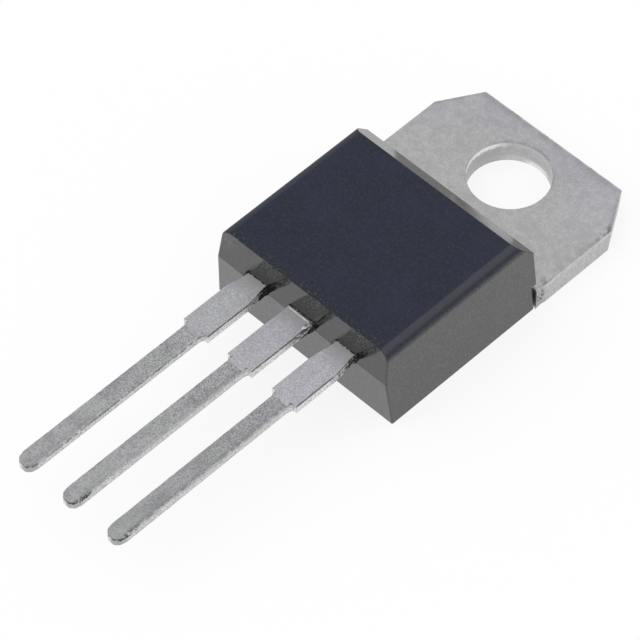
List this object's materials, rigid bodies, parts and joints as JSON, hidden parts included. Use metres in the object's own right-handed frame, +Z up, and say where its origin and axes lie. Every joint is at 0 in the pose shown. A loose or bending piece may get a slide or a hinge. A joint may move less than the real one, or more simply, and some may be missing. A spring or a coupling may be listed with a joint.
{
  "type": "thyristor",
  "caption": "Three-lead power thyristor in a black moulded body on a bolt-down metal heat-sink tab with a round mounting hole.",
  "frame": {"origin": "on the axis of the mounting hole, in the plane of the heat-sink back face the part lies on", "axes": "+X across the leads towards the gate lead, +Y from the lead tips towards the tab end, +Z up along the mounting hole, away from the heat-sink back face"},
  "size_m": [0.0102, 0.0284, 0.0043],
  "materials": {
    "mould_epoxy": "black filled epoxy, fine matte top face, smoother semi-gloss drafted walls",
    "plated_copper": "satin nickel-plated copper tab, dull tin-dipped leads",
    "silicon": "smooth dark grey silicon",
    "solder": "dull soft solder",
    "bond_aluminium": "drawn aluminium wire"
  },
  "bodies": {
    "root": {"mould_body": "mould_epoxy", "heat_sink_tab": "plated_copper", "cathode_lead": "plated_copper", "gate_lead": "plated_copper", "thyristor_die": "silicon", "die_solder": "solder", "cathode_bond_wire": "bond_aluminium", "gate_bond_wire": "bond_aluminium"}
  },
  "joints": []
}
